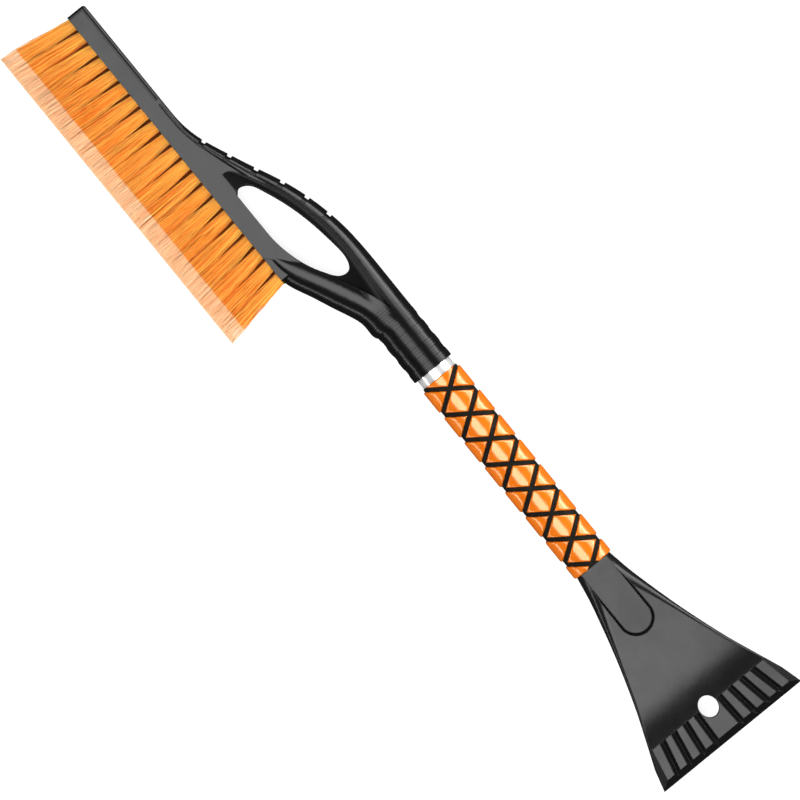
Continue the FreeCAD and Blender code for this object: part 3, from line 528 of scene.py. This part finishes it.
def pad_skin():
    """Raised pads between the grooves, as a height over the sleeve that falls at their edges."""
    inner = (sleeve_high.y - sleeve_low.y) / 2 / MM + SKIN_LIFT
    outer = (pads_high.y - pads_low.y) / 2 / MM
    start = (sleeve_low.x - ORIGIN.x) / MM
    end = (sleeve_high.x - ORIGIN.x) / MM
    xs = np.linspace(start, end, PAD_COLUMNS)
    angles = np.arange(PAD_ROWS) * math.tau / PAD_ROWS
    x, angle = np.meshgrid(xs, angles, indexing="ij")
    across = outer * np.cos(angle)
    straight = 1 / math.hypot(1, GROOVE_SLOPE)
    inside = np.minimum(x - start, end - x) + END_STEP
    for centre in GROOVE_FIRST + GROOVE_PITCH * np.arange(GROOVE_COUNT):
        for slope in (GROOVE_SLOPE, -GROOVE_SLOPE):
            gap = np.abs(x - centre - slope * across) * straight
            inside = np.minimum(inside, gap - GROOVE_WIDTH / 2)
    rise = np.clip(inside / PAD_EDGE, 0, 1)
    height = np.sqrt(1 - (1 - rise) ** 2)
    share = PAD_STEP * (inside > 0) + (1 - PAD_STEP) * height
    radius = inner + (outer - inner) * share
    vertices = []
    for column in range(PAD_COLUMNS):
        for row in range(PAD_ROWS):
            r = radius[column, row]
            a = angles[row]
            vertices.append(place(xs[column], r * math.cos(a), r * math.sin(a)))
    keep = inside > -PAD_OVERLAP
    faces = []
    for column in range(PAD_COLUMNS - 1):
        for row in range(PAD_ROWS):
            after = (row + 1) % PAD_ROWS
            corners = [(column + 1, row), (column + 1, after), (column, after), (column, row)]
            if all(keep[corner] for corner in corners):
                faces.append([c * PAD_ROWS + r for c, r in corners])
    new_piece("grip_pads_foam", vertices, faces, "handle", "orange_foam", "grip_pads")


pad_skin()

# --------------------------------------------------------------------------------------
# Floor, light and camera
# --------------------------------------------------------------------------------------

FLOOR_SIZE = 8
FLOOR_TONES = ((0.30, 0.30, 0.30), (0.31, 0.31, 0.31))
FLOOR_GLOW = 0.82
PANEL_DISTANCE = 1.5
SURROUNDINGS = (0.03, 0.03, 0.03)
BACKDROP = (0.9, 0.9, 0.9)
VIEW_CENTRE = (0.01528, -0.0137)
VIEW_WIDTH = 0.5623
VIEW_TURN = math.radians(50.8)


def floor():
    """Plain pale floor that glows evenly and is not mirrored in the tool."""
    bpy.ops.mesh.primitive_plane_add(size=FLOOR_SIZE, location=(0, 0, 0))
    plane = bpy.context.object
    plane.name = "floor"
    shader = Shader("floor", FLOOR_TONES[0], roughness=0.9, specular=0.0)
    tone = shader.mix(shader.noise(scale=3), *FLOOR_TONES)
    shader.link(tone, shader.surface, "Base Color")
    shader.surface.inputs["Emission Color"].default_value = (1, 1, 1, 1)
    shader.surface.inputs["Emission Strength"].default_value = FLOOR_GLOW
    plane.data.materials.append(shader.material)
    plane.visible_glossy = False


def panel(name, low, high, length, radiance, shift=0.0):
    """Softbox along the tool that spans angles, in degrees from straight up towards +y."""
    middle = math.radians((low + high) / 2)
    half = math.radians((high - low) / 2)
    width = 2 * PANEL_DISTANCE * math.tan(half)
    light = bpy.data.lights.new(name, "AREA")
    light.shape = "RECTANGLE"
    light.size = length
    light.size_y = width
    light.energy = radiance * math.pi * length * width
    lamp = bpy.data.objects.new(name, light)
    lamp.location = (shift, AXIS.y + PANEL_DISTANCE * math.sin(middle),
                     AXIS.z + PANEL_DISTANCE * math.cos(middle))
    lamp.rotation_euler = (-middle, 0, 0)
    lamp.visible_camera = False
    bpy.context.scene.collection.objects.link(lamp)


def world():
    """Surroundings that light the tool dimly but look pale to the camera."""
    studio = bpy.data.worlds.new("studio")
    studio.use_nodes = True
    nodes = studio.node_tree.nodes
    links = studio.node_tree.links
    mix = nodes.new("ShaderNodeMix")
    mix.data_type = "RGBA"
    for socket, colour in zip(colour_sockets(mix.inputs), (SURROUNDINGS, BACKDROP)):
        socket.default_value = (*colour, 1)
    sight = nodes.new("ShaderNodeLightPath").outputs["Is Camera Ray"]
    links.new(sight, mix.inputs["Factor"])
    links.new(colour_sockets(mix.outputs)[0], nodes["Background"].inputs["Color"])
    bpy.context.scene.world = studio


def camera():
    """Long lens straight above the front face, turned so that the tool runs from upper left to
    lower right."""
    lens = bpy.data.cameras.new("camera")
    lens.lens = 200
    lens.sensor_width = 36
    lens.clip_end = 50
    view = bpy.data.objects.new("camera", lens)
    distance = VIEW_WIDTH * lens.lens / lens.sensor_width
    view.location = (*VIEW_CENTRE, AXIS.z + distance)
    view.rotation_euler = (0, 0, VIEW_TURN)
    bpy.context.scene.collection.objects.link(view)
    bpy.context.scene.camera = view


floor()
world()
panel("key_panel", low=-31, high=8, length=1.75, radiance=6.3, shift=0.08)
panel("side_panel", low=50, high=68, length=1.9, radiance=5.0)
panel("low_strip", low=70, high=88, length=1.9, radiance=9.0)
panel("rim_strip", low=-88, high=-82, length=1.9, radiance=8.0)
camera()
bpy.context.scene.view_settings.view_transform = "Standard"
